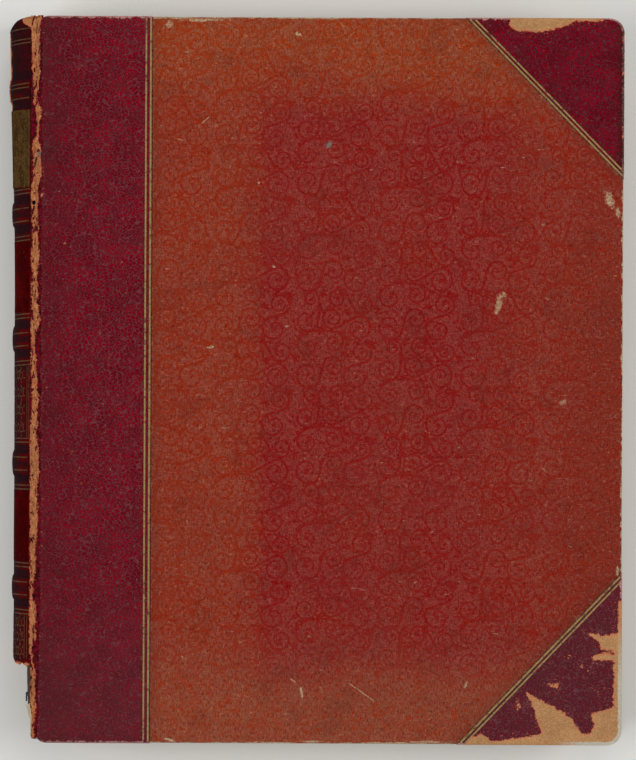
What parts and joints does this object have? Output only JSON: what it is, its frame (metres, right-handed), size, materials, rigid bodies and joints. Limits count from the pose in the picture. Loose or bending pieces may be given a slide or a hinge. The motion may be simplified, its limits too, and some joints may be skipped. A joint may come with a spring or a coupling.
{
  "type": "antique leather book",
  "caption": "Closed half-leather book with cloth sides, raised bands on a rounded spine, gold lines and hinged covers.",
  "frame": {"origin": "centre of the rear cover's underside, on the surface the book lies on", "axes": "+X to the fore-edge, +Y to the head, +Z out of the front cover"},
  "size_m": [0.2364, 0.28, 0.0382],
  "materials": {
    "pages": "aged, slightly rough paper edges",
    "spine_lining": "coarse mull and glue",
    "cord": "twisted hemp",
    "endband": "blue and white silk wound on a core",
    "card": "brown card",
    "spine_leather": "dark, smooth, worn at the head and torn at the tail",
    "gilt_label": "brown-olive with dull gilding",
    "red_label": "smooth dark red",
    "gold": "dull gold leaf, broken in places",
    "joint_leather": "worn down to the bare hide",
    "board": "grey millboard",
    "side_leather": "pebbled crimson morocco, scuffed at its edges",
    "cloth": "red book cloth with a scroll pattern, faded to orange-brown round the edges",
    "lining_paper": "plain aged paper"
  },
  "bodies": {
    "book_block": {"text_block": "pages", "spine_lining": "spine_lining", "sewing_cords": "cord", "headband": "endband", "tailband": "endband", "spine_inlay": "card", "raised_bands": "card", "spine_leather": "spine_leather", "gilt_label": "gilt_label", "upper_label": "red_label", "lower_label": "red_label", "spine_gilding": "gold", "front_joint": "joint_leather", "rear_joint": "spine_leather"},
    "front_cover": {"front_board": "board", "front_leather_side": "side_leather", "front_corner_head": "side_leather", "front_corner_tail": "side_leather", "front_cloth": "cloth", "front_fillets": "gold", "front_pastedown": "lining_paper"},
    "rear_cover": {"rear_board": "board", "rear_leather_side": "side_leather", "rear_corner_head": "side_leather", "rear_corner_tail": "side_leather", "rear_cloth": "cloth", "rear_fillets": "gold", "rear_pastedown": "lining_paper"}
  },
  "joints": [
    {"name": "front_cover_hinge", "type": "hinge", "parent": "book_block", "child": "front_cover", "pos_m": [-0.10695, 0, 0.0382], "axis": [0, -1, 0], "range_deg": [0, 180]},
    {"name": "rear_cover_hinge", "type": "hinge", "parent": "book_block", "child": "rear_cover", "pos_m": [-0.10695, 0, 0], "axis": [0, 1, 0], "range_deg": [0, 180]}
  ]
}
